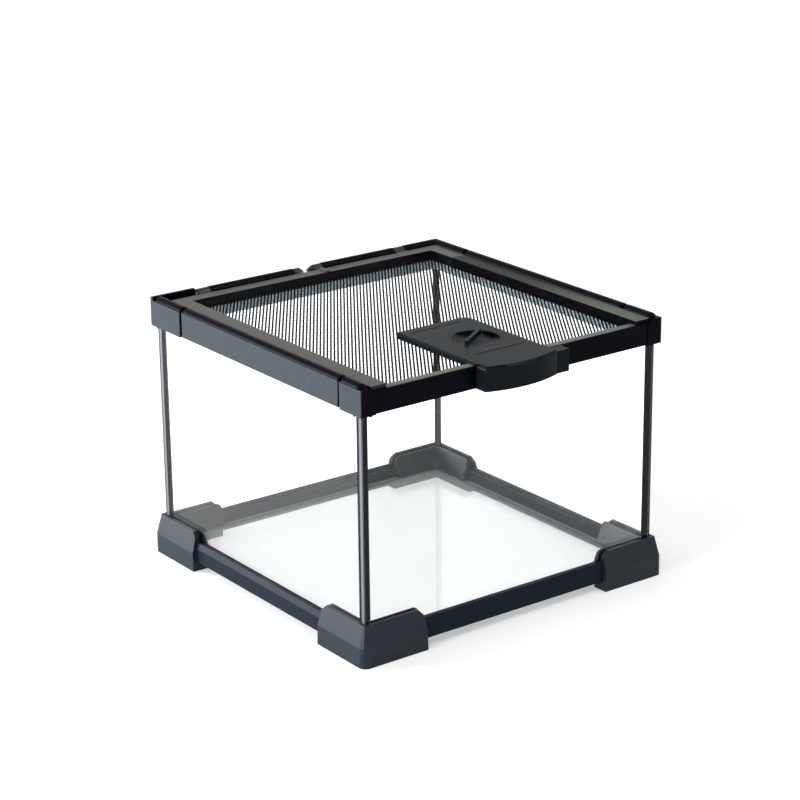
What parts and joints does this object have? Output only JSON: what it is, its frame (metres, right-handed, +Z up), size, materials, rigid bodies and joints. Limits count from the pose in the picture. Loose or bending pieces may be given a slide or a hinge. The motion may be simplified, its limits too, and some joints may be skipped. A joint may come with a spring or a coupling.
{
  "type": "terrarium",
  "caption": "Small square clear tank on black moulded feet and rails, with a hinged mesh lid, a latch plate with a finger lip and a turning lock knob.",
  "frame": {"origin": "on the ground, under the middle of the outer box with the latch lip included, which is 4.65 mm in front of the middle of the four walls", "axes": "+Z up, -Y towards the front with the latch, +X to the right seen from the front"},
  "size_m": [0.2054, 0.2146, 0.1523],
  "materials": {
    "black_plastic": "semi-gloss black moulding",
    "clear_panel": "polished clear sheet",
    "seal": "black joint sealant",
    "mesh_sheet": "black coated slotted sheet",
    "steel": "plain steel"
  },
  "bodies": {
    "tank": {"floor_panel": "clear_panel", "front_panel": "clear_panel", "back_panel": "clear_panel", "left_panel": "clear_panel", "right_panel": "clear_panel", "corner_seal_front_left": "seal", "corner_seal_front_right": "seal", "corner_seal_back_left": "seal", "corner_seal_back_right": "seal", "foot_front_left": "black_plastic", "foot_front_right": "black_plastic", "foot_back_left": "black_plastic", "foot_back_right": "black_plastic", "base_rail_front": "black_plastic", "base_rail_back": "black_plastic", "base_rail_left": "black_plastic", "base_rail_right": "black_plastic", "top_corner_front_left": "black_plastic", "top_corner_front_right": "black_plastic", "top_corner_back_left": "black_plastic", "top_corner_back_right": "black_plastic", "top_rail_front": "black_plastic", "top_rail_left": "black_plastic", "top_rail_right": "black_plastic", "top_rail_back_left": "black_plastic", "top_rail_back_right": "black_plastic", "back_joiner": "black_plastic", "hinge_pin_left": "steel", "hinge_pin_right": "steel", "lock_keeper": "black_plastic"},
    "lid": {"lid_corner_front_left": "black_plastic", "lid_corner_front_right": "black_plastic", "lid_corner_back_left": "black_plastic", "lid_corner_back_right": "black_plastic", "lid_rail_left": "black_plastic", "lid_rail_right": "black_plastic", "lid_rail_front_left": "black_plastic", "lid_rail_front_right": "black_plastic", "lid_rail_back_left": "black_plastic", "lid_rail_back_right": "black_plastic", "lid_joiner": "black_plastic", "lid_mesh": "mesh_sheet", "latch_plate": "black_plastic"},
    "lock": {"lock_knob": "black_plastic", "lock_tongue": "black_plastic", "lock_screw": "steel"}
  },
  "joints": [
    {"name": "lid_hinge", "type": "hinge", "parent": "tank", "child": "lid", "pos_m": [0, 0.10085, 0.1491], "axis": [-1, 0, 0], "range_deg": [0, 105]},
    {"name": "lock_turn", "type": "hinge", "parent": "lid", "child": "lock", "pos_m": [0, -0.06035, 0.1491], "axis": [0, 0, -1], "range_deg": [0, 90]}
  ]
}
